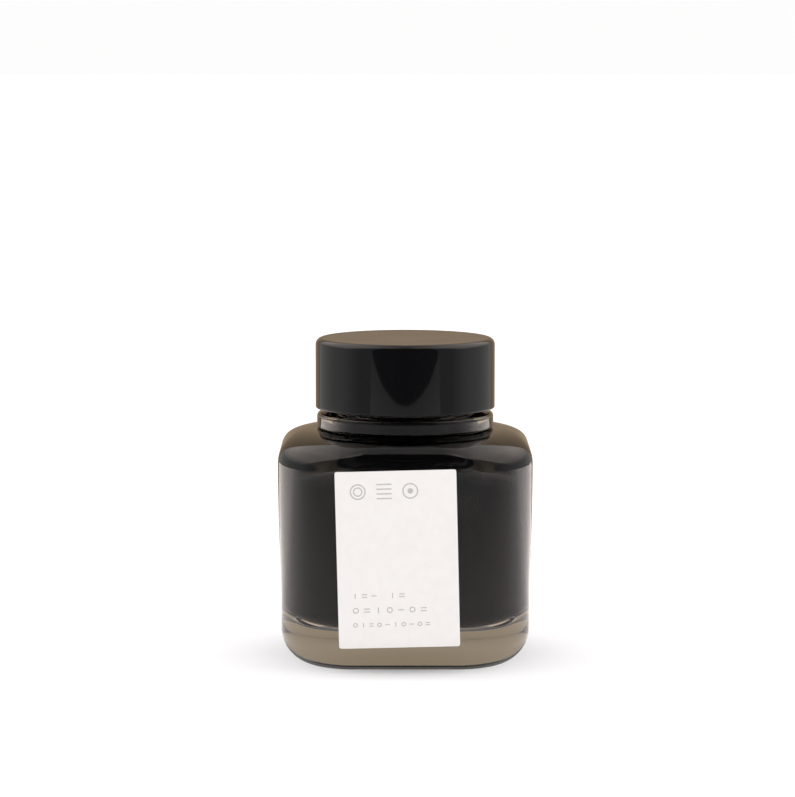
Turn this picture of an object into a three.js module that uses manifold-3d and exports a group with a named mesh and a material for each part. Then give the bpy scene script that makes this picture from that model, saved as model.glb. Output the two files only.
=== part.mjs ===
// A rounded-square glass ink bottle with a moulded screw cap, a foam liner and a paper label.
// Millimetres, +Z up. The origin is the middle of the base, and the label faces -Y.
import * as THREE from "three";
import { mergeVertices } from "three/addons/utils/BufferGeometryUtils.js";
import Module from "manifold-3d";

// Bottle body
const BODY_WIDTH = 45.8; // across the flats, where the wall meets the shoulder
const CORNER_RADIUS = 13.7; // upright corners, seen from above
const WALL_DRAFT = 0.5; // how far each side leans in from shoulder to heel
const SHOULDER_HEIGHT = 41.7;
const SHOULDER_RISE = 5.5; // from the top of the wall to the level part round the neck
const SHOULDER_FULLNESS = 2.35; // 2 is an ellipse's quarter and more is squarer
const SHOULDER_ROUNDNESS = 2; // how soon it turns from square to round; 1 is evenly
const INNER_SHOULDER_RISE = 6.5;
const HEEL_RADIUS = 6.6;
const GLASS_WALL = 3.2;
const BASE_THICKNESS = 7;
const CAVITY_FLOOR_RADIUS = 5;
const PUSH_UP_RADIUS = 11;
const PUSH_UP_SLOPE_WIDTH = 1.5;
const PUSH_UP_DEPTH = 0.9;

// Neck finish
const NECK_RADIUS = 13; // at the root of the thread
const BORE_RADIUS = 10;
const NECK_HEIGHT = 13.6; // shoulder to lip
const LIP_EDGE_RADIUS = 0.6;
const BEAD_INSET = 0.25; // from the cap's side in to the bead's
const BEAD_HEIGHT = 2.8;
const BEAD_EDGE_RADIUS = 0.8; // of its upper edge
const BEAD_FOOT_RADIUS = 0.3; // of its lower edge
const GROOVE_DEPTH = 0.6; // under the bead
const GROOVE_HEIGHT = 0.15;

// Thread
const THREAD_PITCH = 4.2;
const THREAD_HEIGHT = 1.1; // radial, on the neck
const CAP_THREAD_HEIGHT = 1.2; // radial, in the cap
const THREAD_ROOT_WIDTH = 0.52 * THREAD_PITCH;
const THREAD_CREST_WIDTH = 0.26 * THREAD_PITCH;
const NECK_THREAD_TURNS = 1.25;
const CAP_THREAD_TURNS = 1.5;
const THREAD_BELOW_LIP = 2.2; // lip to the middle of the last turn
const THREAD_RADIAL_CLEARANCE = 0.6;
const THREAD_AXIAL_CLEARANCE = 0.35;
const THREAD_RUN_OUT = 0.08; // share of the ridge's length over which each end fades
const THREAD_EMBED = 0.5; // how far the ridge's root lies inside its wall

// Cap and liner
const CAP_WALL = 1.6;
const CAP_TOP = 1.6;
const CAP_EDGE_RADIUS = 1.2;
const CAP_RIM_GAP = 0.75; // bead to cap rim
const LINER_THICKNESS = 1.2;
const LINER_EDGE_CLEARANCE = 0.3;

// Ink
const INK_RISE_IN_BORE = 8.7; // ink level above the cavity's ceiling
const INK_WALL_CLEARANCE = 0.3;

// Label
const LABEL_WIDTH = 21.4;
const LABEL_HEIGHT = 31.6;
const LABEL_THICKNESS = 0.2;
const LABEL_CORNER_RADIUS = 0.6;
const LABEL_GAP = 0.2; // glass to paper
const LABEL_OFFSET_X = -1.4;
const LABEL_CENTRE_HEIGHT = 20.9;
const LABEL_TILT = THREE.MathUtils.degToRad(1.4);

// Fineness of the facets
const ROUND_STEPS = 64;
const BODY_ARC_STEPS = 5;
const SHOULDER_STEPS = 7;
const SMALL_ARC_STEPS = 3;
const BEAD_ARC_STEPS = 3;
const THREAD_STEPS_PER_TURN = 36;
const ROUNDING_ERROR = 1e-6; // below this a coordinate is nothing

// Heights and radii that follow from the sizes above
const CORE_HALF_WIDTH = BODY_WIDTH / 2 - CORNER_RADIUS;
const SHOULDER_FOOT = SHOULDER_HEIGHT - SHOULDER_RISE;
const LIP_HEIGHT = SHOULDER_HEIGHT + NECK_HEIGHT;
const BEAD_FOOT = SHOULDER_HEIGHT + GROOVE_HEIGHT;
const BEAD_TOP = BEAD_FOOT + BEAD_HEIGHT;
const CAP_INNER_RADIUS = NECK_RADIUS + THREAD_HEIGHT + THREAD_RADIAL_CLEARANCE;
const CAP_RADIUS = CAP_INNER_RADIUS + CAP_WALL;
const CAP_RIM = BEAD_TOP + CAP_RIM_GAP;
const CAP_CEILING = LIP_HEIGHT + LINER_THICKNESS;
const CAP_HEIGHT = CAP_CEILING + CAP_TOP;
const BEAD_RADIUS = CAP_RADIUS - BEAD_INSET;
const GROOVE_RADIUS = BEAD_RADIUS - BEAD_FOOT_RADIUS - GROOVE_DEPTH;
const CAVITY_CEILING = SHOULDER_HEIGHT - GLASS_WALL;
const INNER_SHOULDER_FOOT = CAVITY_CEILING - INNER_SHOULDER_RISE;
const INK_LEVEL = CAVITY_CEILING + INK_RISE_IN_BORE;

const { Manifold, Mesh: ManifoldMesh } = await loadManifold();

async function loadManifold() {
  const wasm = await Module();
  wasm.setup();
  return wasm;
}

function toSolid(geometry) {
  const bare = geometry.clone();
  bare.deleteAttribute("normal");
  bare.deleteAttribute("uv");
  const merged = mergeVertices(bare);
  return new Manifold(
    new ManifoldMesh({
      numProp: 3,
      vertProperties: new Float32Array(merged.attributes.position.array),
      triVerts: new Uint32Array(merged.index.array),
    }),
  );
}

function toGeometry(solid) {
  const mesh = solid.getMesh();
  const geometry = new THREE.BufferGeometry();
  geometry.setAttribute("position", new THREE.BufferAttribute(mesh.vertProperties, mesh.numProp));
  geometry.setIndex(new THREE.BufferAttribute(mesh.triVerts, 1));
  return geometry;
}

function material(color, roughness, metalness = 0) {
  return new THREE.MeshStandardMaterial({ color, roughness, metalness });
}

// The half width of the body's outside at a height on its leaning wall.
function wallHalfWidth(height) {
  const rise = (height - HEEL_RADIUS) / (SHOULDER_FOOT - HEEL_RADIUS);
  return BODY_WIDTH / 2 - WALL_DRAFT * (1 - rise);
}

// A place on an outline. Squareness runs from 0, a circle about the axis, to 1, a square with
// round corners whose centres are the body's corner centres.
const point = (radius, height, squareness = 0) => new THREE.Vector3(radius, height, squareness);

// Points of an arc from one angle to another, in degrees, as an outline of one squareness.
function arc(centreRadius, centreHeight, radius, fromDegrees, toDegrees, steps, squareness = 0) {
  return Array.from({ length: steps + 1 }, (_, step) => {
    const degrees = THREE.MathUtils.lerp(fromDegrees, toDegrees, step / steps);
    const angle = THREE.MathUtils.degToRad(degrees);
    return point(
      centreRadius + radius * Math.cos(angle),
      centreHeight + radius * Math.sin(angle),
      squareness,
    );
  });
}

// A full quarter curve from the top of a square wall in to a circle round the neck.
function shoulder(wallRadius, circleRadius, foot, rise) {
  const power = 2 / SHOULDER_FULLNESS;
  return Array.from({ length: SHOULDER_STEPS + 1 }, (_, step) => {
    const angle = (Math.PI / 2) * (step / SHOULDER_STEPS);
    const across = Math.cos(angle) ** power;
    const radius = THREE.MathUtils.lerp(circleRadius, wallRadius, across);
    return point(radius, foot + rise * Math.sin(angle) ** power, across ** SHOULDER_ROUNDNESS);
  });
}

// Turns an outline about +Z and draws its square places out from a circle.
function revolve(outline) {
  const geometry = new THREE.LatheGeometry(outline, ROUND_STEPS);
  geometry.rotateX(Math.PI / 2);
  const position = geometry.attributes.position;
  for (let index = 0; index < position.count; index += 1) {
    const place = outline[index % outline.length];
    position.setX(index, squareOff(position.getX(index), place));
    position.setY(index, squareOff(position.getY(index), place));
  }
  return geometry;
}

function squareOff(coordinate, place) {
  const core = place.z * CORE_HALF_WIDTH;
  const direction = Math.abs(coordinate) < ROUNDING_ERROR ? 0 : coordinate / place.x;
  return core * Math.sign(direction) + (place.x - core) * direction;
}

// The cavity's outline from the middle of its floor up to where it meets the bore, drawn in
// from the glass by a clearance.
function cavityWall(clearance) {
  const bend = CAVITY_FLOOR_RADIUS - clearance;
  const bendHeight = BASE_THICKNESS + CAVITY_FLOOR_RADIUS;
  const inset = GLASS_WALL + clearance;
  const lower = wallHalfWidth(bendHeight) - inset;
  const upper = wallHalfWidth(INNER_SHOULDER_FOOT) - inset;
  const rise = INNER_SHOULDER_RISE - clearance;
  return [
    ...arc(lower - bend, bendHeight, bend, -90, 0, BODY_ARC_STEPS, 1),
    ...shoulder(upper, BORE_RADIUS - clearance, INNER_SHOULDER_FOOT, rise),
  ];
}

function bottleOutside() {
  const heel = wallHalfWidth(HEEL_RADIUS) - HEEL_RADIUS;
  return [
    ...arc(heel, HEEL_RADIUS, HEEL_RADIUS, -90, 0, BODY_ARC_STEPS, 1),
    ...shoulder(BODY_WIDTH / 2, BEAD_RADIUS, SHOULDER_FOOT, SHOULDER_RISE),
    point(GROOVE_RADIUS, SHOULDER_HEIGHT),
  ];
}

function neckOutside() {
  const edge = BEAD_EDGE_RADIUS;
  const foot = BEAD_FOOT_RADIUS;
  const lip = NECK_RADIUS - LIP_EDGE_RADIUS;
  return [
    point(GROOVE_RADIUS, BEAD_FOOT),
    ...arc(BEAD_RADIUS - foot, BEAD_FOOT + foot, foot, -90, 0, BEAD_ARC_STEPS),
    ...arc(BEAD_RADIUS - edge, BEAD_TOP - edge, edge, 0, 90, BEAD_ARC_STEPS),
    point(NECK_RADIUS, BEAD_TOP),
    ...arc(lip, LIP_HEIGHT - LIP_EDGE_RADIUS, LIP_EDGE_RADIUS, 0, 90, SMALL_ARC_STEPS),
    point(BORE_RADIUS, LIP_HEIGHT),
  ];
}

function pushUp() {
  return [
    point(0, PUSH_UP_DEPTH),
    point(PUSH_UP_RADIUS - PUSH_UP_SLOPE_WIDTH, PUSH_UP_DEPTH),
    point(PUSH_UP_RADIUS, 0),
  ];
}

// A trapezoid ridge wound on a wall. It stands out of the wall where its crest radius is larger
// than its root radius and into the hollow where it is smaller. Both ends fade into the wall.
function threadRidge(rootRadius, crestRadius, startHeight, startTurn, turns) {
  const outward = Math.sign(crestRadius - rootRadius);
  const section = new THREE.Shape([
    new THREE.Vector2(0, -THREAD_ROOT_WIDTH / 2),
    new THREE.Vector2(1, -THREAD_CREST_WIDTH / 2),
    new THREE.Vector2(1, THREAD_CREST_WIDTH / 2),
    new THREE.Vector2(0, THREAD_ROOT_WIDTH / 2),
  ]);
  const steps = Math.ceil(turns * THREAD_STEPS_PER_TURN);
  const ridge = new THREE.ExtrudeGeometry(section, { depth: 1, steps, bevelEnabled: false });
  const embedded = rootRadius - outward * THREAD_EMBED;
  const position = ridge.attributes.position;
  for (let index = 0; index < position.count; index += 1) {
    const depth = position.getZ(index);
    const along = outward > 0 ? 1 - depth : depth;
    const fade = Math.min(1, Math.min(along, 1 - along) / THREAD_RUN_OUT);
    const sunk = rootRadius - (outward * THREAD_EMBED) / 2;
    const crest = THREE.MathUtils.lerp(sunk, crestRadius, fade);
    const radius = THREE.MathUtils.lerp(embedded, crest, position.getX(index));
    const angle = 2 * Math.PI * (startTurn + along * turns);
    const height = startHeight + along * turns * THREAD_PITCH + position.getY(index);
    position.setXYZ(index, radius * Math.cos(angle), radius * Math.sin(angle), height);
  }
  return ridge;
}

const neckThreadStart = LIP_HEIGHT - THREAD_BELOW_LIP - NECK_THREAD_TURNS * THREAD_PITCH;

function glassBottle() {
  const body = revolve([
    ...pushUp(),
    ...bottleOutside(),
    ...neckOutside(),
    ...cavityWall(0).reverse(),
    point(0, BASE_THICKNESS),
  ]);
  const crest = NECK_RADIUS + THREAD_HEIGHT;
  const ridge = threadRidge(NECK_RADIUS, crest, neckThreadStart, 0, NECK_THREAD_TURNS);
  const mesh = new THREE.Mesh(
    toGeometry(toSolid(body).add(toSolid(ridge))),
    material(0xa9aba0, 0.05),
  );
  mesh.name = "glass_bottle";
  return mesh;
}

function inkFill() {
  const geometry = revolve([
    point(0, BASE_THICKNESS + INK_WALL_CLEARANCE),
    ...cavityWall(INK_WALL_CLEARANCE),
    point(BORE_RADIUS - INK_WALL_CLEARANCE, INK_LEVEL),
    point(0, INK_LEVEL),
  ]);
  const mesh = new THREE.Mesh(geometry, material(0x07070a, 0.1));
  mesh.name = "ink_fill";
  return mesh;
}

// The neck thread's underside presses on the top of the cap's ridge, a clearance below it.
function screwCap() {
  const edge = CAP_RADIUS - CAP_EDGE_RADIUS;
  const shell = revolve([
    point(0, CAP_CEILING),
    point(CAP_INNER_RADIUS, CAP_CEILING),
    point(CAP_INNER_RADIUS, CAP_RIM),
    point(CAP_RADIUS, CAP_RIM),
    ...arc(edge, CAP_HEIGHT - CAP_EDGE_RADIUS, CAP_EDGE_RADIUS, 0, 90, SMALL_ARC_STEPS),
    point(0, CAP_HEIGHT),
  ]);
  const drop = (THREAD_ROOT_WIDTH + THREAD_CREST_WIDTH) / 2 + THREAD_AXIAL_CLEARANCE;
  const lowest = CAP_RIM + THREAD_ROOT_WIDTH / 2 + THREAD_AXIAL_CLEARANCE;
  const startTurn = (lowest - (neckThreadStart - drop)) / THREAD_PITCH;
  const crest = CAP_INNER_RADIUS - CAP_THREAD_HEIGHT;
  const ridge = threadRidge(CAP_INNER_RADIUS, crest, lowest, startTurn, CAP_THREAD_TURNS);
  const mesh = new THREE.Mesh(
    toGeometry(toSolid(shell).add(toSolid(ridge))),
    material(0x0c0c0d, 0.18),
  );
  mesh.name = "screw_cap";
  return mesh;
}

function capLiner() {
  const radius = CAP_INNER_RADIUS - LINER_EDGE_CLEARANCE;
  const disc = new THREE.CylinderGeometry(radius, radius, LINER_THICKNESS, ROUND_STEPS);
  disc.rotateX(Math.PI / 2);
  disc.translate(0, 0, LIP_HEIGHT + LINER_THICKNESS / 2);
  const mesh = new THREE.Mesh(disc, material(0xe9e6dc, 0.8));
  mesh.name = "cap_liner";
  return mesh;
}

function roundedRectangle(width, height, radius) {
  const right = width / 2;
  const top = height / 2;
  const shape = new THREE.Shape();
  shape.moveTo(right, top - radius);
  shape.absarc(right - radius, top - radius, radius, 0, Math.PI / 2);
  shape.absarc(radius - right, top - radius, radius, Math.PI / 2, Math.PI);
  shape.absarc(radius - right, radius - top, radius, Math.PI, 1.5 * Math.PI);
  shape.absarc(right - radius, radius - top, radius, 1.5 * Math.PI, 2 * Math.PI);
  return shape;
}

// The label stands parallel to the leaning front wall, a little crooked as it was stuck on.
function frontLabel() {
  const shape = roundedRectangle(LABEL_WIDTH, LABEL_HEIGHT, LABEL_CORNER_RADIUS);
  const paper = new THREE.ExtrudeGeometry(shape, {
    depth: LABEL_THICKNESS,
    bevelEnabled: false,
    curveSegments: SMALL_ARC_STEPS,
  });
  paper.rotateZ(LABEL_TILT);
  const mesh = new THREE.Mesh(paper, material(0xf3efeb, 0.75));
  const lean = Math.atan2(WALL_DRAFT, SHOULDER_FOOT - HEEL_RADIUS);
  mesh.name = "front_label";
  mesh.rotation.x = Math.PI / 2 + lean;
  mesh.position.set(
    LABEL_OFFSET_X,
    -(wallHalfWidth(LABEL_CENTRE_HEIGHT) + LABEL_GAP),
    LABEL_CENTRE_HEIGHT,
  );
  return mesh;
}

const inkBottle = new THREE.Group();
inkBottle.name = "ink_bottle";
inkBottle.add(glassBottle(), inkFill(), frontLabel(), capLiner(), screwCap());

export default inkBottle;
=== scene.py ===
"""The looks of a filled glass ink bottle with a screw cap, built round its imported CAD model.

Outlines and sizes are in millimetres and become metres when a mesh is made. The label faces -Y.
"""
import math

import bmesh
import bpy
from mathutils import Matrix, Vector


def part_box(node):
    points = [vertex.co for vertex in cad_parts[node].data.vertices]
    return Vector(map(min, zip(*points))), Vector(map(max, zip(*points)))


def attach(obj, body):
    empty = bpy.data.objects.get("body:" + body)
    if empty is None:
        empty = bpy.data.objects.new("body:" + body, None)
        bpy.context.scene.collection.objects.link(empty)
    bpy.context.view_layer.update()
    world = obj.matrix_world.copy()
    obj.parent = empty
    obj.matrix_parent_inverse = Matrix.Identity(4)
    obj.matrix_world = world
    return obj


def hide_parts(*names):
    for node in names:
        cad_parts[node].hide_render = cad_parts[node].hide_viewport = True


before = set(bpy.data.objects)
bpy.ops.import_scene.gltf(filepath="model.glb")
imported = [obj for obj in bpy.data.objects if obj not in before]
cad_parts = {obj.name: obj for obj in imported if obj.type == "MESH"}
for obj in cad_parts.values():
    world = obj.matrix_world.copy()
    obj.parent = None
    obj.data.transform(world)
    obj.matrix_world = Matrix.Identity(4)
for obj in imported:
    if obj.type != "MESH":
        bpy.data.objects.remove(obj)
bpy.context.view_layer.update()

MM = 0.001
FULL_TURN = 2 * math.pi


def millimetres(node):
    """The lowest and highest corner of a CAD node, in millimetres."""
    low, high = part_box(node)
    return low / MM, high / MM


bottle_high = millimetres("glass_bottle")[1]
ink_low, ink_high = millimetres("ink_fill")
label_low, label_high = millimetres("front_label")
liner_low, liner_high = millimetres("cap_liner")
cap_low, cap_high = millimetres("screw_cap")

# Bottle body
HALF_WIDTH = bottle_high.x
CORNER_RADIUS = 13.7
CORE = HALF_WIDTH - CORNER_RADIUS  # half the distance between the corners' centres
WALL_DRAFT = 0.5
SHOULDER_HEIGHT = 41.7
SHOULDER_RISE = 5.5
SHOULDER_FULLNESS = 2.35  # 2 is an ellipse's quarter; more is squarer
SHOULDER_ROUNDNESS = 2  # how soon it turns from square to round; 1 is evenly
SHOULDER_FOOT = SHOULDER_HEIGHT - SHOULDER_RISE
INNER_SHOULDER_RISE = 6.5
HEEL_RADIUS = 6.6
INK_CLEARANCE = 0.3  # by which the CAD ink is drawn in from the glass
GLASS_WALL = HALF_WIDTH - ink_high.x - INK_CLEARANCE
CAVITY_FLOOR = ink_low.z - INK_CLEARANCE
CAVITY_FLOOR_RADIUS = 5.0
CAVITY_CEILING = SHOULDER_HEIGHT - GLASS_WALL
INNER_SHOULDER_FOOT = CAVITY_CEILING - INNER_SHOULDER_RISE
PUSH_UP_RADIUS = 11.0  # of the hollow under the base
PUSH_UP_DEPTH = 0.9

# Neck finish
LIP_HEIGHT = bottle_high.z
NECK_RADIUS = 13.0
BORE_RADIUS = 10.0
LIP_EDGE_RADIUS = 0.6  # outside
BORE_EDGE_RADIUS = 0.5
BEAD_INSET = 0.25  # from the cap's side in to the bead's
BEAD_RADIUS = cap_high.x - BEAD_INSET
BEAD_HEIGHT = 2.8
BEAD_EDGE_RADIUS = 0.8  # of its upper edge
BEAD_FOOT_RADIUS = 0.3  # of its lower edge
GROOVE_DEPTH = 0.6  # under the bead
GROOVE_HEIGHT = 0.15
GROOVE_RADIUS = BEAD_RADIUS - BEAD_FOOT_RADIUS - GROOVE_DEPTH
BEAD_FOOT = SHOULDER_HEIGHT + GROOVE_HEIGHT
BEAD_TOP = BEAD_FOOT + BEAD_HEIGHT

# Thread
THREAD_PITCH = 4.2
NECK_THREAD_HEIGHT = 1.1
CAP_THREAD_HEIGHT = 1.2
THREAD_ROOT_WIDTH = 0.52 * THREAD_PITCH
THREAD_CREST_WIDTH = 0.26 * THREAD_PITCH
NECK_THREAD_TURNS = 1.25
CAP_THREAD_TURNS = 1.5
THREAD_RUN_OUT = 0.1  # the turn over which each end of a ridge fades
THREAD_BELOW_LIP = 2.2
THREAD_AXIAL_CLEARANCE = 0.35
THREAD_END_CLEARANCE = 0.1  # from the cap's ceiling
NECK_THREAD_START = LIP_HEIGHT - THREAD_BELOW_LIP - NECK_THREAD_TURNS * THREAD_PITCH
THREAD_DROP = (THREAD_ROOT_WIDTH + THREAD_CREST_WIDTH) / 2 + THREAD_AXIAL_CLEARANCE

# Cap
CAP_RADIUS = cap_high.x
CAP_WALL = 1.6
CAP_INNER_RADIUS = CAP_RADIUS - CAP_WALL
CAP_RIM = cap_low.z
CAP_TOP = cap_high.z
CAP_CEILING = liner_high.z
CAP_EDGE_RADIUS = 1.2
CAP_RIM_ROUNDING = 0.2
CAP_TOP_LAND = 0.4  # the flat ring inside the cap's rounded edge
CAP_TOP_SLOPE = 1.6  # the ring inside that, which starts the shallow dish
CAP_TOP_DISH = 0.08
LINER_EDGE_RADIUS = 0.15

# Ink
INK_LEVEL = ink_high.z
MENISCUS_RISE = 0.9
MENISCUS_REACH = 2.0
MENISCUS_STEPS = 14
INK_FILM = 0.02  # between the ink's skin and the glass that it wets

# Label
LABEL_WIDTH = 21.4
LABEL_HEIGHT = 31.6
LABEL_TILT = math.radians(1.4)
LABEL_CORNER_CUT = 0.4
LABEL_CENTRE = (label_low + label_high) / 2
PAPER_THICKNESS = 0.11
GLUE_THICKNESS = 0.03
PRINT_LIFT = 0.01  # off the paper
PRINT_LEFT = -8.1
PRINT_TITLE = 12.2  # its middle, up from the label's centre
PRINT_TITLE_MARK = 1.4
PRINT_TITLE_STROKE = 0.22
PRINT_LINES = [  # middle, marks, size, pitch and stroke
    (-6.4, "i=l i=", 0.95, 1.65, 0.17),
    (-9.0, "o=iolo=", 1.05, 2.0, 0.18),
    (-11.6, "oi=oliolo=", 0.8, 1.42, 0.16),
]

# Fineness of the meshes
AROUND = 256
BODY_ARC_STEPS = 16
SHOULDER_STEPS = 40
WALL_STEPS = 24
BEAD_ARC_STEPS = 10
SMALL_ARC_STEPS = 8
THREAD_ROWS = 72
LABEL_COLUMNS = 44
LABEL_ROWS = 64
RING_STEPS = 40
SAME_PLACE = 0.001  # points nearer than this are one


# Materials

GLASS_IOR = 1.52
WETTED_GLASS_IOR = 1.143  # of glass against ink, which is 1.52 to 1.33


def linear(code):
    """A linear RGBA colour from an sRGB hex code."""
    values = [int(code[i:i + 2], 16) / 255 for i in (0, 2, 4)]
    return [v / 12.92 if v <= 0.04045 else ((v + 0.055) / 1.055) ** 2.4 for v in values] + [1.0]


def new_material(name):
    material = bpy.data.materials.new(name)
    material.use_nodes = True
    material.node_tree.nodes.clear()
    return material


def socket(node, key):
    """A node's input by its name, or by its place where the key is _0, _1 and so on."""
    if key[0] == "_":
        return node.inputs[int(key[1:])]
    return node.inputs.get(key.replace("_", " "))


def add_node(tree, kind, settings=None, **links):
    """Adds a node. Settings give values to its sockets or properties; links join its sockets."""
    node = tree.nodes.new(kind)
    for key, value in (settings or {}).items():
        place = socket(node, key)
        if place is None:
            setattr(node, key, value)
        else:
            place.default_value = value
    for key, source in links.items():
        tree.links.new(source, socket(node, key))
    return node


def colour_stops(node, stops):
    """Sets a ramp's stops from (place, colour) pairs; the last place is the ramp's end."""
    full = stops[-1][0]
    ramp = node.color_ramp
    while len(ramp.elements) > 1:
        ramp.elements.remove(ramp.elements[-1])
    ramp.elements[0].position = stops[0][0] / full
    ramp.elements[0].color = (*stops[0][1], 1)
    for place, colour in stops[1:]:
        ramp.elements.new(place / full).color = (*colour, 1)


def finish_material(tree, surface, volume=None):
    output = tree.nodes.new("ShaderNodeOutputMaterial")
    tree.links.new(surface.outputs[0], output.inputs["Surface"])
    if volume:
        tree.links.new(volume.outputs[0], output.inputs["Volume"])


def object_noise(tree, scale, detail=2.0):
    """Noise on Object coordinates; scale is in features a metre."""
    place = add_node(tree, "ShaderNodeTexCoord")
    return add_node(
        tree, "ShaderNodeTexNoise", {"Scale": scale, "Detail": detail},
        Vector=place.outputs["Object"],
    )


def glass_material(name, ior):
    """Soda-lime glass, blown into a mould: clear, faintly green where thick, softly wavy."""
    material = new_material(name)
    tree = material.node_tree
    waves = object_noise(tree, 1 / (9 * MM), 1.5)
    bump = add_node(
        tree, "ShaderNodeBump", {"Strength": 0.25, "Distance": 0.05 * MM},
        Height=waves.outputs[0],
    )
    surface = add_node(
        tree, "ShaderNodeBsdfPrincipled",
        {"Base Color": (1, 1, 1, 1), "Roughness": 0.0, "IOR": ior, "Transmission Weight": 1.0},
        Normal=bump.outputs[0],
    )
    volume = add_node(
        tree, "ShaderNodeVolumeAbsorption", {"Color": linear("96a6a1"), "Density": 16.0},
    )
    finish_material(tree, surface, volume)
    return material


def cap_material():
    """Phenolic, compression moulded: glossy black, its flat top a little dulled by handling."""
    material = new_material("moulded_phenolic")
    tree = material.node_tree
    flow = object_noise(tree, 1 / (5 * MM), 2.0)
    bump = add_node(
        tree, "ShaderNodeBump", {"Strength": 0.1, "Distance": 0.02 * MM},
        Height=flow.outputs[0],
    )
    place = add_node(tree, "ShaderNodeTexCoord")
    height = add_node(tree, "ShaderNodeSeparateXYZ", Vector=place.outputs["Object"])
    dulled = add_node(
        tree, "ShaderNodeMapRange",
        {
            "From Min": (CAP_TOP - 0.3) * MM, "From Max": (CAP_TOP - 0.05) * MM,
            "To Min": 0.025, "To Max": 0.17,
        },
        Value=height.outputs["Z"],
    )
    handled = add_node(
        tree, "ShaderNodeMapRange", {"To Min": 0.85, "To Max": 1.2},
        Value=flow.outputs[0],
    )
    rough = add_node(
        tree, "ShaderNodeMath", {"operation": "MULTIPLY"},
        _0=dulled.outputs[0], _1=handled.outputs[0],
    )
    surface = add_node(
        tree, "ShaderNodeBsdfPrincipled",
        {"Base Color": linear("060607"), "IOR": 1.56},
        Roughness=rough.outputs[0], Normal=bump.outputs[0],
    )
    finish_material(tree, surface)
    return material


def ink_surface_material():
    """Water-based dye ink, seen from the air: black and mirror smooth."""
    material = new_material("dye_ink_surface")
    tree = material.node_tree
    ripple = object_noise(tree, 1 / (8 * MM))
    bump = add_node(
        tree, "ShaderNodeBump", {"Strength": 0.05, "Distance": 0.02 * MM},
        Height=ripple.outputs[0],
    )
    surface = add_node(
        tree, "ShaderNodeBsdfPrincipled",
        {"Base Color": linear("070708"), "Roughness": 0.02, "IOR": 1.34},
        Normal=bump.outputs[0],
    )
    finish_material(tree, surface)
    return material


def ink_body_material():
    """The same ink behind the glass, where it swallows what light comes in."""
    material = new_material("dye_ink_against_glass")
    tree = material.node_tree
    swirl = object_noise(tree, 1 / (14 * MM), 3.0)
    tone = add_node(
        tree, "ShaderNodeMix",
        {"data_type": "RGBA", "_6": linear("010101"), "_7": linear("030202")},
        Factor=swirl.outputs[0],
    )
    surface = add_node(
        tree, "ShaderNodeBsdfPrincipled",
        {"Roughness": 0.9, "Specular IOR Level": 0.0},
        Base_Color=tone.outputs[2],
    )
    finish_material(tree, surface)
    return material


def paper_material():
    """Uncoated textured paper: warm white, short soft fibres, a fine tooth."""
    material = new_material("textured_paper")
    tree = material.node_tree
    place = add_node(tree, "ShaderNodeTexCoord")
    stretch = add_node(
        tree, "ShaderNodeMapping", {"Scale": (1.0, 1.0, 0.45)},
        Vector=place.outputs["Object"],
    )
    tooth = add_node(
        tree, "ShaderNodeTexNoise", {"Scale": 1 / (0.35 * MM), "Detail": 4.0},
        Vector=stretch.outputs[0],
    )
    cloud = object_noise(tree, 1 / (1.6 * MM), 3.0)
    tone = add_node(
        tree, "ShaderNodeMix",
        {"data_type": "RGBA", "_6": linear("eae6e3"), "_7": linear("f1eeec")},
        Factor=cloud.outputs[0],
    )
    bump = add_node(
        tree, "ShaderNodeBump", {"Strength": 0.5, "Distance": 0.03 * MM},
        Height=tooth.outputs[0],
    )
    surface = add_node(
        tree, "ShaderNodeBsdfPrincipled", {"Roughness": 0.85, "Specular IOR Level": 0.3},
        Base_Color=tone.outputs[2], Normal=bump.outputs[0],
    )
    finish_material(tree, surface)
    return material


def print_material():
    """Grey letterpress ink on rough paper, so the colour breaks up a little."""
    material = new_material("letterpress_grey")
    tree = material.node_tree
    speckle = object_noise(tree, 1 / (0.22 * MM), 3.0)
    tone = add_node(
        tree, "ShaderNodeMix",
        {"data_type": "RGBA", "_6": linear("a8a5a2"), "_7": linear("d0ccc8")},
        Factor=speckle.outputs[0],
    )
    surface = add_node(
        tree, "ShaderNodeBsdfPrincipled", {"Roughness": 0.8, "Specular IOR Level": 0.3},
        Base_Color=tone.outputs[2],
    )
    finish_material(tree, surface)
    return material


def foam_material():
    """Expanded polyethylene: soft white foam with fine closed cells."""
    material = new_material("polyethylene_foam")
    tree = material.node_tree
    place = add_node(tree, "ShaderNodeTexCoord")
    cells = add_node(
        tree, "ShaderNodeTexVoronoi", {"Scale": 1 / (0.5 * MM)},
        Vector=place.outputs["Object"],
    )
    bump = add_node(
        tree, "ShaderNodeBump", {"Strength": 0.6, "Distance": 0.06 * MM},
        Height=cells.outputs[0],
    )
    tone = add_node(
        tree, "ShaderNodeMix",
        {"data_type": "RGBA", "_6": linear("f2efe6"), "_7": linear("dcd8cc")},
        Factor=cells.outputs[0],
    )
    surface = add_node(
        tree, "ShaderNodeBsdfPrincipled", {"Roughness": 0.7},
        Base_Color=tone.outputs[2], Normal=bump.outputs[0],
    )
    finish_material(tree, surface)
    return material


# Shapes

def arc(centre_radius, centre_height, radius, start, end, steps, squareness=0):
    """Points of an arc between two angles in degrees, as radius, height and squareness."""
    points = []
    for step in range(steps + 1):
        angle = math.radians(start + (end - start) * step / steps)
        across, up = radius * math.cos(angle), radius * math.sin(angle)
        points.append((centre_radius + across, centre_height + up, squareness))
    return points


def straight(start, end, steps):
    """Evenly spaced points strictly between two points."""
    return [
        tuple(a + (b - a) * step / steps for a, b in zip(start, end))
        for step in range(1, steps)
    ]


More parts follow.
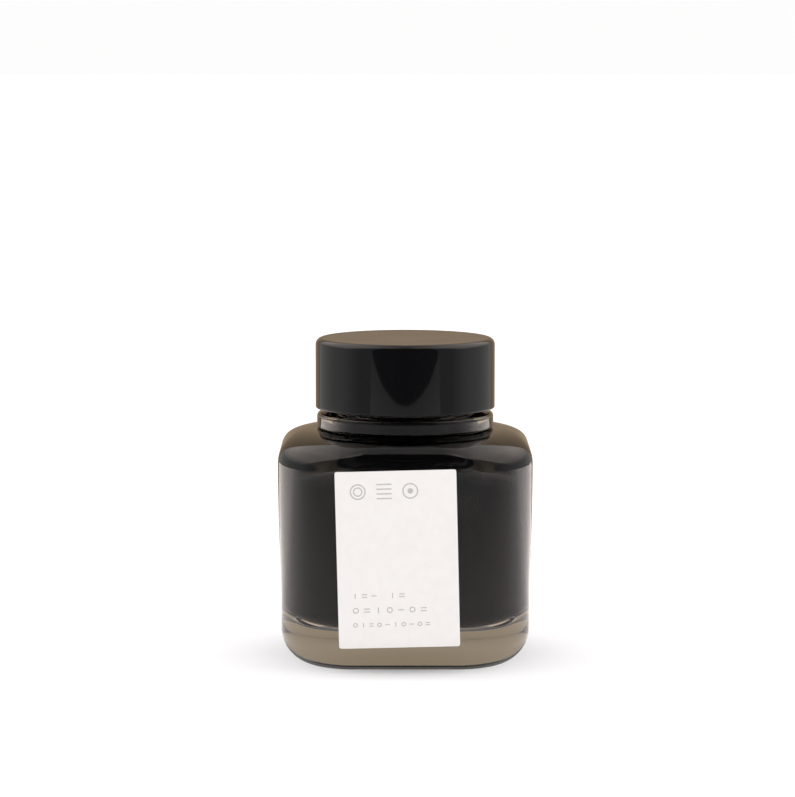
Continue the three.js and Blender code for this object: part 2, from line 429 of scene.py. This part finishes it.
def wall_half_width(height):
    """The body's half width outside at a height on its leaning wall, which ends upright."""
    rise = (height - HEEL_RADIUS) / (SHOULDER_FOOT - HEEL_RADIUS)
    rise = min(1.0, max(0.0, rise))
    return HALF_WIDTH - WALL_DRAFT * (1 - rise * rise * (3 - 2 * rise))


def wall(low, high, inset):
    """Points of the leaning wall strictly between two heights, drawn in by an inset."""
    heights = [low + (high - low) * step / WALL_STEPS for step in range(1, WALL_STEPS)]
    return [(wall_half_width(height) - inset, height, 1) for height in heights]


def shoulder(wall_radius, circle_radius, foot, rise):
    """A full quarter curve from the top of a square wall in to a circle round the neck."""
    power = 2 / SHOULDER_FULLNESS
    points = []
    for step in range(SHOULDER_STEPS + 1):
        angle = math.pi / 2 * step / SHOULDER_STEPS
        across = abs(math.cos(angle)) ** power
        radius = circle_radius + (wall_radius - circle_radius) * across
        height = foot + rise * math.sin(angle) ** power
        points.append((radius, height, across ** SHOULDER_ROUNDNESS))
    return points


def supported(points):
    """The same outline with a point close to each end of every long stretch, so that the smooth
    shading of a round stretch doesn't reach into a flat one."""
    close, long = 0.04, 1.3
    held = [points[0]]
    for start, end in zip(points, points[1:]):
        length = math.dist(start[:2], end[:2])
        if length > long:
            for share in (close / length, 1 - close / length):
                held.append(tuple(a + (b - a) * share for a, b in zip(start, end)))
        held.append(end)
    return held


def spun(stretches):
    """A mesh turned about Z from stretches of (points, finish).

    A point's squareness draws it out from a circle, at 0, to the body's rounded square, at 1.
    A face takes the highest finish number of its corners as its material slot.
    """
    bm = bmesh.new()
    square = bm.verts.layers.float.new("square")
    finish = bm.verts.layers.int.new("finish")
    chain = []
    for points, slot in stretches:
        for radius, height, squareness in supported(points):
            vert = bm.verts.new((radius * MM, 0, height * MM))
            vert[square] = squareness
            vert[finish] = slot
            chain.append(vert)
    edges = [bm.edges.new(pair) for pair in zip(chain, chain[1:])]
    bmesh.ops.spin(
        bm, geom=chain + edges, cent=(0, 0, 0), axis=(0, 0, 1), angle=FULL_TURN,
        steps=AROUND, use_merge=True,
    )
    bmesh.ops.remove_doubles(bm, verts=bm.verts, dist=SAME_PLACE * MM)
    bmesh.ops.recalc_face_normals(bm, faces=bm.faces)
    for face in bm.faces:
        face.material_index = max(vert[finish] for vert in face.verts)
    for vert in bm.verts:
        radius = math.hypot(vert.co.x, vert.co.y)
        core = vert[square] * CORE * MM
        if core and radius > CORE * MM:
            vert.co.x = square_off(vert.co.x, radius, core)
            vert.co.y = square_off(vert.co.y, radius, core)
    return bm


def square_off(coordinate, radius, core):
    """Moves a coordinate out from a circle to a square of that core with rounded corners."""
    direction = coordinate / radius
    rounding_error = 1e-5
    if abs(direction) < rounding_error:
        return 0.0
    return math.copysign(core, direction) + (radius - core) * direction


def piece(name, bm, materials, body, slot, *nodes):
    """Makes a smooth-shaded object of a bmesh that rides a body and stands for CAD nodes."""
    mesh = bpy.data.meshes.new(name)
    bm.to_mesh(mesh)
    bm.free()
    for material in materials:
        mesh.materials.append(material)
    mesh.shade_smooth()
    thing = bpy.data.objects.new(name, mesh)
    bpy.context.scene.collection.objects.link(thing)
    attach(thing, body)
    if nodes:
        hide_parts(*nodes)
    return thing


def ridge_share(turn_angle, height, start_height, start_turn, turns):
    """How far, from 0 to 1, a helical ridge stands out of its wall at an angle and height."""
    best = 0.0
    for lap in range(-1, 4):
        turn = turn_angle / FULL_TURN + lap - start_turn
        if 0 <= turn <= turns:
            off = abs(height - start_height - turn * THREAD_PITCH)
            flank_width = (THREAD_ROOT_WIDTH - THREAD_CREST_WIDTH) / 2
            flank = (THREAD_ROOT_WIDTH / 2 - off) / flank_width
            flank = min(1.0, max(0.0, flank))
            fade = min(1.0, min(turn, turns - turn) / THREAD_RUN_OUT)
            best = max(best, flank * flank * (3 - 2 * flank) * math.sqrt(fade))
    return best


def raise_thread(bm, root_radius, rise, low, high, start_height, start_turn, turns):
    """Pushes a helical ridge out of the wall of that radius, between two heights."""
    for vert in bm.verts:
        radius = math.hypot(vert.co.x, vert.co.y)
        height = vert.co.z / MM
        on_wall = abs(radius / MM - root_radius) < 10 * SAME_PLACE
        if on_wall and low < height < high:
            angle = math.atan2(vert.co.y, vert.co.x) % FULL_TURN
            share = ridge_share(angle, height, start_height, start_turn, turns)
            scale = 1 + rise * share * MM / radius
            vert.co.x *= scale
            vert.co.y *= scale


def cavity_outline(inset):
    """The cavity's wall from its floor to the bore, drawn in from the glass."""
    bend = CAVITY_FLOOR_RADIUS - inset
    bend_height = CAVITY_FLOOR + CAVITY_FLOOR_RADIUS
    lower = wall_half_width(bend_height) - GLASS_WALL - inset
    upper = wall_half_width(INNER_SHOULDER_FOOT) - GLASS_WALL - inset
    return (
        arc(lower - bend, bend_height, bend, -90, 0, BODY_ARC_STEPS, 1)
        + wall(bend_height, INNER_SHOULDER_FOOT, GLASS_WALL + inset)
        + shoulder(upper, BORE_RADIUS - inset, INNER_SHOULDER_FOOT, INNER_SHOULDER_RISE - inset)
    )


def make_bottle():
    dry, wet = 0, 1
    heel = wall_half_width(HEEL_RADIUS) - HEEL_RADIUS
    push_up = [
        (0, PUSH_UP_DEPTH, 0),
        (PUSH_UP_RADIUS * 0.5, PUSH_UP_DEPTH * 0.75, 0),
        (PUSH_UP_RADIUS, 0, 0),
    ]
    outside = (
        arc(heel, HEEL_RADIUS, HEEL_RADIUS, -90, 0, BODY_ARC_STEPS, 1)
        + wall(HEEL_RADIUS, SHOULDER_FOOT, 0)
        + shoulder(HALF_WIDTH, BEAD_RADIUS, SHOULDER_FOOT, SHOULDER_RISE)
    )
    bead_foot = BEAD_RADIUS - BEAD_FOOT_RADIUS
    bead_edge = BEAD_RADIUS - BEAD_EDGE_RADIUS
    lip = NECK_RADIUS - LIP_EDGE_RADIUS
    bore_edge = BORE_EDGE_RADIUS
    neck_foot = (NECK_RADIUS, BEAD_TOP, 0)
    neck_head = (NECK_RADIUS, LIP_HEIGHT - LIP_EDGE_RADIUS, 0)
    neck = (
        [(GROOVE_RADIUS, SHOULDER_HEIGHT, 0), (GROOVE_RADIUS, BEAD_FOOT, 0)]
        + arc(bead_foot, BEAD_FOOT + BEAD_FOOT_RADIUS, BEAD_FOOT_RADIUS, -90, 0, BEAD_ARC_STEPS)
        + arc(bead_edge, BEAD_TOP - BEAD_EDGE_RADIUS, BEAD_EDGE_RADIUS, 0, 90, BEAD_ARC_STEPS)
        + [neck_foot]
        + straight(neck_foot, neck_head, THREAD_ROWS)
        + arc(lip, neck_head[1], LIP_EDGE_RADIUS, 0, 90, SMALL_ARC_STEPS)
        + arc(BORE_RADIUS + bore_edge, LIP_HEIGHT - bore_edge, bore_edge, 90, 180, SMALL_ARC_STEPS)
    )
    contact = INK_LEVEL + MENISCUS_RISE
    bore = [(BORE_RADIUS, contact, 0)]
    cavity = cavity_outline(0)[::-1]
    bm = spun([
        (push_up + outside + neck, dry),
        (bore + cavity + [(0, CAVITY_FLOOR, 0)], wet),
    ])
    for face in bm.faces:
        if max(vert.co.z for vert in face.verts) > (contact + 10 * SAME_PLACE) * MM:
            face.material_index = dry
    raise_thread(
        bm, NECK_RADIUS, NECK_THREAD_HEIGHT, BEAD_TOP + 0.3, LIP_HEIGHT - 0.7,
        NECK_THREAD_START, 0, NECK_THREAD_TURNS,
    )
    materials = [
        glass_material("soda_lime_glass", GLASS_IOR),
        glass_material("soda_lime_glass_wetted", WETTED_GLASS_IOR),
    ]
    bottle = piece("bottle_glass", bm, materials, "bottle", "bottle_glass", "glass_bottle")
    bottle.visible_shadow = False  # clear glass lets the light on to the floor round it
    bottle.visible_diffuse = False
    return bottle


def make_ink():
    surface = []
    for step in range(MENISCUS_STEPS + 1):
        radius = (BORE_RADIUS - INK_FILM) * (1 - step / MENISCUS_STEPS)
        climb = math.exp(-(BORE_RADIUS - radius) / (MENISCUS_REACH / 2))
        surface.append((radius, INK_LEVEL - INK_FILM + MENISCUS_RISE * climb, 0))
    bm = spun([
        ([(0, CAVITY_FLOOR + INK_FILM, 0)] + cavity_outline(INK_FILM), 0),
        (surface, 1),
    ])
    for face in bm.faces:
        if min(vert.co.z for vert in face.verts) < (INK_LEVEL - 0.1) * MM:
            face.material_index = 0
    materials = [ink_body_material(), ink_surface_material()]
    return piece("ink", bm, materials, "bottle", "ink", "ink_fill")


def make_cap():
    edge = CAP_RADIUS - CAP_EDGE_RADIUS
    rim = CAP_RIM_ROUNDING
    skirt_head = (CAP_INNER_RADIUS, CAP_CEILING, 0)
    skirt_foot = (CAP_INNER_RADIUS, CAP_RIM + rim, 0)
    land = edge - CAP_TOP_LAND
    outline = (
        [(0, CAP_CEILING, 0), skirt_head]
        + straight(skirt_head, skirt_foot, THREAD_ROWS)
        + arc(CAP_INNER_RADIUS + rim, CAP_RIM + rim, rim, 180, 270, SMALL_ARC_STEPS)
        + arc(CAP_RADIUS - rim, CAP_RIM + rim, rim, -90, 0, SMALL_ARC_STEPS)
        + arc(edge, CAP_TOP - CAP_EDGE_RADIUS, CAP_EDGE_RADIUS, 0, 90, BODY_ARC_STEPS)
        + [
            (land, CAP_TOP, 0),
            (land - CAP_TOP_SLOPE, CAP_TOP - CAP_TOP_DISH * 0.375, 0),
            (0, CAP_TOP - CAP_TOP_DISH, 0),
        ]
    )
    bm = spun([(outline, 0)])
    lowest = CAP_RIM + THREAD_ROOT_WIDTH / 2 + THREAD_AXIAL_CLEARANCE
    start_turn = (lowest - (NECK_THREAD_START - THREAD_DROP)) / THREAD_PITCH
    raise_thread(
        bm, CAP_INNER_RADIUS, -CAP_THREAD_HEIGHT, CAP_RIM + rim,
        CAP_CEILING - THREAD_END_CLEARANCE, lowest, start_turn, CAP_THREAD_TURNS,
    )
    return piece("cap_shell", bm, [cap_material()], "cap", "cap_plastic", "screw_cap")


def make_liner():
    radius = liner_high.x
    edge = LINER_EDGE_RADIUS
    foot, head = liner_low.z, liner_high.z
    outline = (
        [(0, foot, 0)]
        + arc(radius - edge, foot + edge, edge, -90, 0, SMALL_ARC_STEPS)
        + arc(radius - edge, head - edge, edge, 0, 90, SMALL_ARC_STEPS)
        + [(0, head, 0)]
    )
    bm = spun([(outline, 0)])
    return piece("foam_liner", bm, [foam_material()], "liner", "liner_foam", "cap_liner")


# Label

def front_face(x, z):
    """The Y of the glass's front face, in millimetres, at a place in front of the bottle."""
    half, core = wall_half_width(z), CORE
    if z > SHOULDER_FOOT:
        up = ((z - SHOULDER_FOOT) / SHOULDER_RISE) ** SHOULDER_FULLNESS
        squareness = (1 - up) ** (1 / SHOULDER_FULLNESS)
        half = BEAD_RADIUS + (HALF_WIDTH - BEAD_RADIUS) * squareness
        core = CORE * squareness ** SHOULDER_ROUNDNESS
    if z < HEEL_RADIUS:
        half -= HEEL_RADIUS - math.sqrt(HEEL_RADIUS ** 2 - (HEEL_RADIUS - z) ** 2)
    beyond = max(0.0, abs(x) - core)
    return -(core + math.sqrt((half - core) ** 2 - beyond ** 2))


def lay_on_glass(bm, lift):
    """Turns flat work drawn in X and Z about its centre and lays it on the front face."""
    turn = Matrix.Rotation(-LABEL_TILT, 4, "Y")
    for vert in bm.verts:
        depth = vert.co.y / MM
        flat = turn @ Vector((vert.co.x, 0, vert.co.z)) / MM
        x, z = flat.x + LABEL_CENTRE.x, flat.z + LABEL_CENTRE.z
        vert.co = Vector((x, front_face(x, z) - lift - depth, z)) * MM


def sheet_grid(width, height, columns, rows):
    """A flat sheet that stands upright and faces along Y."""
    bm = bmesh.new()
    bmesh.ops.create_grid(bm, x_segments=columns, y_segments=rows, size=0.5)
    bmesh.ops.scale(bm, vec=(width * MM, height * MM, 1), verts=bm.verts)
    bmesh.ops.rotate(bm, cent=(0, 0, 0), matrix=Matrix.Rotation(math.pi / 2, 3, "X"), verts=bm.verts)
    return bm


def make_label():
    bm = sheet_grid(LABEL_WIDTH, LABEL_HEIGHT, LABEL_COLUMNS, LABEL_ROWS)
    corners = [v for v in bm.verts if len(v.link_edges) == 2]
    bmesh.ops.bevel(
        bm, geom=corners, offset=LABEL_CORNER_CUT * MM, offset_type="OFFSET", segments=4,
        profile=0.5, affect="VERTICES", material=-1,
    )
    front = list(bm.faces)
    bmesh.ops.recalc_face_normals(bm, faces=front)
    grown = bmesh.ops.extrude_face_region(bm, geom=front)
    for item in grown["geom"]:
        if isinstance(item, bmesh.types.BMVert):
            item.co.y += PAPER_THICKNESS * MM
    bmesh.ops.recalc_face_normals(bm, faces=bm.faces)
    lay_on_glass(bm, GLUE_THICKNESS)
    if bm.calc_volume(signed=True) < 0:
        bmesh.ops.reverse_faces(bm, faces=bm.faces)
    label = piece("paper_label", bm, [paper_material()], "bottle", "label_paper", "front_label")
    label.data.set_sharp_from_angle(angle=math.radians(40))
    return label


def add_bar(bm, x, z, width, height):
    """A short printed stroke, flat in X and Z."""
    verts = bmesh.ops.create_grid(bm, x_segments=1, y_segments=1, size=0.5)["verts"]
    bmesh.ops.scale(bm, vec=(width * MM, height * MM, 1), verts=verts)
    place_mark(bm, verts, x, z)


def place_mark(bm, verts, x, z):
    """Stands flat marks upright and moves them to their place on the label."""
    upright = Matrix.Rotation(math.pi / 2, 3, "X")
    bmesh.ops.rotate(bm, cent=(0, 0, 0), matrix=upright, verts=verts)
    bmesh.ops.translate(bm, vec=(x * MM, 0, z * MM), verts=verts)


def add_ring(bm, x, z, outer, inner):
    """A printed ring, or a disc where the inner radius is nothing."""
    made = bmesh.ops.create_circle(
        bm, cap_ends=not inner, radius=outer * MM, segments=RING_STEPS,
    )
    verts = made["verts"]
    if inner:
        hole = bmesh.ops.create_circle(
            bm, cap_ends=False, radius=inner * MM, segments=RING_STEPS,
        )
        verts = verts + hole["verts"]
        edges = list({edge for vert in verts for edge in vert.link_edges})
        bmesh.ops.bridge_loops(bm, edges=edges)
    place_mark(bm, verts, x, z)


def add_pattern(bm, x, z, kinds, size, pitch, stroke):
    """A line of small plain marks: o a ring, i an upright stroke, l a level one, = two of them."""
    for place, kind in enumerate(kinds):
        centre = x + size / 2 + place * pitch
        if kind == "o":
            add_ring(bm, centre, z, size / 2, size / 2 - stroke)
        if kind == "i":
            add_bar(bm, centre, z, stroke, size)
        if kind == "l":
            add_bar(bm, centre, z, size, stroke)
        if kind == "=":
            add_bar(bm, centre, z - size / 4, size, stroke)
            add_bar(bm, centre, z + size / 4, size, stroke)


def make_print():
    """Three marks at the top and three lines of smaller ones below, in place of any lettering."""
    bm = bmesh.new()
    left, title = PRINT_LEFT, PRINT_TITLE
    mark, stroke = PRINT_TITLE_MARK, PRINT_TITLE_STROKE
    add_ring(bm, left + mark, title, mark, mark - stroke)
    add_ring(bm, left + mark, title, mark * 0.6, mark * 0.6 - stroke)
    for step in range(4):
        add_bar(bm, left + mark * 4.3, title + mark * (step - 1.5) * 0.6, mark * 1.9, stroke)
    add_ring(bm, left + mark * 7.6, title, mark, mark - stroke)
    add_ring(bm, left + mark * 7.6, title, mark * 0.35, 0)
    for line in PRINT_LINES:
        add_pattern(bm, left, *line)
    lay_on_glass(bm, GLUE_THICKNESS + PAPER_THICKNESS + PRINT_LIFT)
    bm.normal_update()
    backward = [face for face in bm.faces if face.normal.y > 0]
    bmesh.ops.reverse_faces(bm, faces=backward)
    return piece("label_print", bm, [print_material()], "bottle", "label_paper")


# Studio

CAMERA_DISTANCE = 0.6
CAMERA_ELEVATION = math.radians(6.4)
CAMERA_AIM = Vector((-0.0014, 0, 0.0469))
CAMERA_LENS = 148.8
ROOM_RADIUS = 0.9
TENT_RADIUS = 0.4
TENT_OPENING = math.radians(43)  # to each side of the camera
FLOOR_FRONT = -0.43
FLOOR_SIZE = 4.0  # half of its width
CARD_RADIUS = 0.046
CARD_BEHIND = 0.035
STAGE_AROUND = 96

ROOM_LIGHT_LEVEL = 0.62  # from the sides and below
ROOM_LIGHT_ABOVE = 1.6
# The card's glow is painted light, in place of lamps lighting it
CARD_GLOW = 0.7
FLOOR_OWN_GLOW = 0.1
# Painted shade: through glass the floor glows a dim warm colour in place of the shaded floor under
# the bottle
FLOOR_PAINTED_SHADE_THROUGH_GLASS = 0.92
# Painted shadow: close to the bottle the floor's mirror image is painted darker
PAINTED_SHADOW_EDGES = (0.02, 0.031)
PAINTED_SHADOW_LEAST = 0.1
# Painted reflection: the glow that mirrors see in place of the floor, by the distance in metres from
# its front edge
FLOOR_PAINTED_REFLECTION = [
    (0, (0.3, 0.3, 0.3)), (0.23, (0.56, 0.54, 0.54)), (0.28, (0.53, 0.5, 0.5)),
    (0.32, (0.6, 0.56, 0.56)), (0.38, (0.8, 0.75, 0.74)), (0.41, (1.0, 0.93, 0.92)),
    (0.45, (1.27, 1.18, 1.15)), (0.49, (1.9, 1.74, 1.68)), (0.53, (2.0, 1.83, 1.77)),
]
# Painted reflection: the glow of the tent's walls, by the angle in degrees from the camera's side
TENT_GLOW = [
    (0, (0.045, 0.044, 0.05)), (41, (0.065, 0.062, 0.07)), (43, (0.26, 0.26, 0.27)),
    (60, (0.27, 0.26, 0.27)), (78, (0.45, 0.44, 0.45)), (105, (0.62, 0.6, 0.6)),
    (122, (0.78, 0.74, 0.73)), (130, (1.0, 0.96, 0.95)), (180, (1.0, 0.96, 0.95)),
]
CEILING_SLOPE = math.tan(math.radians(67))  # up to its straight front edge
CEILING_EDGE_BLUR = 0.03
CEILING_GLOW = (0.5, 0.49, 0.48, 1)
# Painted lamp light brightens the ceiling to both sides, between these distances out and these
# heights
SIDE_LAMP_GLOW = (1.4, 1.26, 1.17, 1)
SIDE_LAMP_OUT = (0.03, 0.17)
SIDE_LAMP_HEIGHT = (0.13, 0.25)


def make_camera():
    data = bpy.data.cameras.new("camera")
    data.lens = CAMERA_LENS
    camera = bpy.data.objects.new("camera", data)
    back = Vector((0, -math.cos(CAMERA_ELEVATION), math.sin(CAMERA_ELEVATION)))
    camera.location = CAMERA_AIM + back * CAMERA_DISTANCE
    camera.rotation_euler = (math.pi / 2 - CAMERA_ELEVATION, 0, 0)
    bpy.context.scene.collection.objects.link(camera)
    bpy.context.scene.camera = camera


def make_world():
    """Soft white light all round and stronger from above; the camera sees a white wall."""
    world = bpy.data.worlds.new("white_room")
    bpy.context.scene.world = world
    world.use_nodes = True
    tree = world.node_tree
    tree.nodes.clear()
    place = add_node(tree, "ShaderNodeTexCoord")
    direction = add_node(tree, "ShaderNodeSeparateXYZ", Vector=place.outputs["Generated"])
    strength = add_node(
        tree, "ShaderNodeMapRange", {"To Min": ROOM_LIGHT_LEVEL, "To Max": ROOM_LIGHT_ABOVE},
        Value=direction.outputs["Z"],
    )
    light = add_node(
        tree, "ShaderNodeBackground", {"Color": linear("fffefe")},
        Strength=strength.outputs[0],
    )
    ray = add_node(tree, "ShaderNodeLightPath")
    wall = add_node(tree, "ShaderNodeBackground", {"Color": linear("fefdfd"), "Strength": 1.0})
    both = add_node(
        tree, "ShaderNodeMixShader",
        _0=ray.outputs["Is Camera Ray"], _1=light.outputs[0], _2=wall.outputs[0],
    )
    output = add_node(tree, "ShaderNodeOutputWorld")
    tree.links.new(both.outputs[0], output.inputs["Surface"])


def make_floor():
    """A white board that glows a little and ends short of the camera. Mirrors see a painted
    reflection of it, dim in front and bright behind, with a painted shadow close to the bottle;
    through glass it shows a warm painted shade."""
    bm = bmesh.new()
    bmesh.ops.create_grid(bm, x_segments=1, y_segments=1, size=FLOOR_SIZE)
    bmesh.ops.translate(bm, vec=(0, FLOOR_SIZE + FLOOR_FRONT, 0), verts=bm.verts)
    material = new_material("matte_white_board")
    tree = material.node_tree
    matte = add_node(
        tree, "ShaderNodeBsdfPrincipled",
        {
            "Base Color": linear("f1f0f0"), "Roughness": 1.0, "Specular IOR Level": 0.0,
            "Emission Color": linear("ffffff"), "Emission Strength": FLOOR_OWN_GLOW,
        },
    )
    place = add_node(tree, "ShaderNodeTexCoord")
    axes = add_node(tree, "ShaderNodeSeparateXYZ", Vector=place.outputs["Object"])
    along = add_node(
        tree, "ShaderNodeMapRange",
        {"From Min": FLOOR_FRONT, "From Max": FLOOR_FRONT + FLOOR_PAINTED_REFLECTION[-1][0]},
        Value=axes.outputs["Y"],
    )
    fall = add_node(tree, "ShaderNodeValToRGB", Fac=along.outputs[0])
    colour_stops(fall, FLOOR_PAINTED_REFLECTION)
    from_centre = add_node(
        tree, "ShaderNodeVectorMath", {"operation": "LENGTH"}, _0=place.outputs["Object"],
    )
    # Painted shadow: the mirrored floor's glow is dimmed close to the bottle
    shade = add_node(
        tree, "ShaderNodeMapRange",
        {
            "From Min": PAINTED_SHADOW_EDGES[0], "From Max": PAINTED_SHADOW_EDGES[1], "To Min": PAINTED_SHADOW_LEAST,
            "interpolation_type": "SMOOTHSTEP",
        },
        Value=from_centre.outputs["Value"],
    )
    # Painted reflection of the floor, shown to glossy rays
    painted_reflection = add_node(
        tree, "ShaderNodeEmission", Color=fall.outputs[0], Strength=shade.outputs[0],
    )
    # Painted shade of the floor under the bottle, as the glass sees it
    painted_shade_through_glass = add_node(
        tree, "ShaderNodeEmission",
        {"Color": linear("d0bba9"), "Strength": FLOOR_PAINTED_SHADE_THROUGH_GLASS},
    )
    ray = add_node(tree, "ShaderNodeLightPath")
    reflected = add_node(
        tree, "ShaderNodeMixShader",
        _0=ray.outputs["Is Glossy Ray"], _1=matte.outputs[0], _2=painted_reflection.outputs[0],
    )
    both = add_node(
        tree, "ShaderNodeMixShader",
        _0=ray.outputs["Is Transmission Ray"],
        _1=reflected.outputs[0], _2=painted_shade_through_glass.outputs[0],
    )
    finish_material(tree, both)
    stage_piece("floor", bm, material)


def stage_piece(name, bm, material):
    mesh = bpy.data.meshes.new(name)
    bm.to_mesh(mesh)
    bm.free()
    mesh.materials.append(material)
    thing = bpy.data.objects.new(name, mesh)
    bpy.context.scene.collection.objects.link(thing)
    return thing


def hide_from_camera(thing):
    thing.visible_camera = False
    thing.visible_diffuse = False
    thing.visible_shadow = False


def make_card():
    """A round warm grey card standing close behind, that only reflections and glass see; its glow
    is a painted reflection of a lit card.
    """
    bm = bmesh.new()
    bmesh.ops.create_circle(bm, cap_ends=True, radius=CARD_RADIUS, segments=STAGE_AROUND)
    upright = Matrix.Rotation(math.pi / 2, 3, "X")
    bmesh.ops.rotate(bm, cent=(0, 0, 0), matrix=upright, verts=bm.verts)
    bmesh.ops.translate(bm, vec=(0, CARD_BEHIND, CARD_RADIUS), verts=bm.verts)
    material = new_material("warm_grey_card")
    tree = material.node_tree
    glow = add_node(tree, "ShaderNodeEmission", {"Color": linear("cbb398"), "Strength": CARD_GLOW})
    finish_material(tree, glow)
    hide_from_camera(stage_piece("warm_card", bm, material))


def make_tent():
    """A light tent that only reflections and refractions see, glowing as a painted reflection:
    grey walls that pale to the back, a ceiling with painted lamp light to both sides,
    and a dark opening in front."""
    bm = bmesh.new()
    bmesh.ops.create_uvsphere(
        bm, u_segments=STAGE_AROUND, v_segments=STAGE_AROUND // 2, radius=ROOM_RADIUS,
    )
    bmesh.ops.reverse_faces(bm, faces=bm.faces)
    for vert in bm.verts:
        if abs(math.atan2(vert.co.x, -vert.co.y)) > TENT_OPENING:
            vert.co *= TENT_RADIUS / ROOM_RADIUS
    material = new_material("painted_tent_reflection")
    tree = material.node_tree
    place = add_node(tree, "ShaderNodeTexCoord")
    axes = add_node(tree, "ShaderNodeSeparateXYZ", Vector=place.outputs["Object"])
    turned = add_node(tree, "ShaderNodeMath", {"operation": "ABSOLUTE"}, _0=axes.outputs["X"])
    forward = add_node(
        tree, "ShaderNodeMath", {"operation": "MULTIPLY", "_1": -1.0}, _0=axes.outputs["Y"],
    )
    azimuth = add_node(
        tree, "ShaderNodeMath", {"operation": "ARCTAN2"},
        _0=turned.outputs[0], _1=forward.outputs[0],
    )
    share = add_node(
        tree, "ShaderNodeMath", {"operation": "DIVIDE", "_1": math.pi}, _0=azimuth.outputs[0],
    )
    around = add_node(tree, "ShaderNodeValToRGB", Fac=share.outputs[0])
    colour_stops(around, TENT_GLOW)
    steepness = add_node(
        tree, "ShaderNodeMath", {"operation": "MULTIPLY", "_1": CEILING_SLOPE},
        _0=forward.outputs[0],
    )
    above = add_node(
        tree, "ShaderNodeMath", {"operation": "SUBTRACT"},
        _0=axes.outputs["Z"], _1=steepness.outputs[0],
    )
    to_ceiling = add_node(
        tree, "ShaderNodeMapRange", {"From Max": CEILING_EDGE_BLUR}, Value=above.outputs[0],
    )
    to_side = add_node(
        tree, "ShaderNodeMapRange",
        {"From Min": SIDE_LAMP_OUT[0], "From Max": SIDE_LAMP_OUT[1]},
        Value=turned.outputs[0],
    )
    to_top = add_node(
        tree, "ShaderNodeMapRange",
        {"From Min": SIDE_LAMP_HEIGHT[0], "From Max": SIDE_LAMP_HEIGHT[1]},
        Value=axes.outputs["Z"],
    )
    lamp_share = add_node(
        tree, "ShaderNodeMath", {"operation": "MULTIPLY"},
        _0=to_side.outputs[0], _1=to_top.outputs[0],
    )
    ceiling = add_node(
        tree, "ShaderNodeMix",
        {"data_type": "RGBA", "_6": CEILING_GLOW, "_7": SIDE_LAMP_GLOW},
        Factor=lamp_share.outputs[0],
    )
    both = add_node(
        tree, "ShaderNodeMix", {"data_type": "RGBA"},
        Factor=to_ceiling.outputs[0], _6=around.outputs[0], _7=ceiling.outputs[2],
    )
    glow = add_node(tree, "ShaderNodeEmission", {"Strength": 1.0}, Color=both.outputs[2])
    finish_material(tree, glow)
    tent = stage_piece("light_tent", bm, material)
    tent.data.shade_smooth()
    hide_from_camera(tent)


bpy.context.scene.view_settings.view_transform = "Standard"
make_camera()
make_world()
make_floor()
make_tent()
make_card()
make_bottle()
make_ink()
make_label()
make_print()
make_liner()
make_cap()
